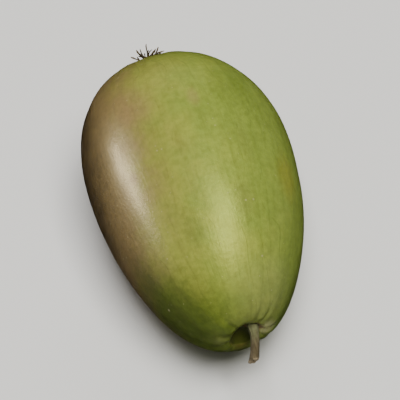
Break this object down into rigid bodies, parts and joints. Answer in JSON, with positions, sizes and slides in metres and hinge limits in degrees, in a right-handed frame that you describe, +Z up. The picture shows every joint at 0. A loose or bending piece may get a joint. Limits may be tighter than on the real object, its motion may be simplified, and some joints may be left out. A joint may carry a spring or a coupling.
{
  "type": "kiwi berry",
  "caption": "Smooth green oval kiwi berry as picked, lying on its side on a small flat spot, with a short dry stalk in its dimple and a tuft of dried styles at the other end.",
  "frame": {"origin": "middle of the flat spot that the fruit rests on, under its centre of mass", "axes": "+Z up from the surface it rests on, +Y along the fruit towards the end with the dried styles, with the stalk towards -Y"},
  "size_m": [0.0245, 0.0423, 0.0235],
  "materials": {
    "berry_skin": "satin",
    "dry_stalk": "matte",
    "dried_style": "matte"
  },
  "bodies": {
    "root": {"berry": "berry_skin", "stalk": "dry_stalk", "dried_styles": "dried_style"}
  },
  "joints": []
}
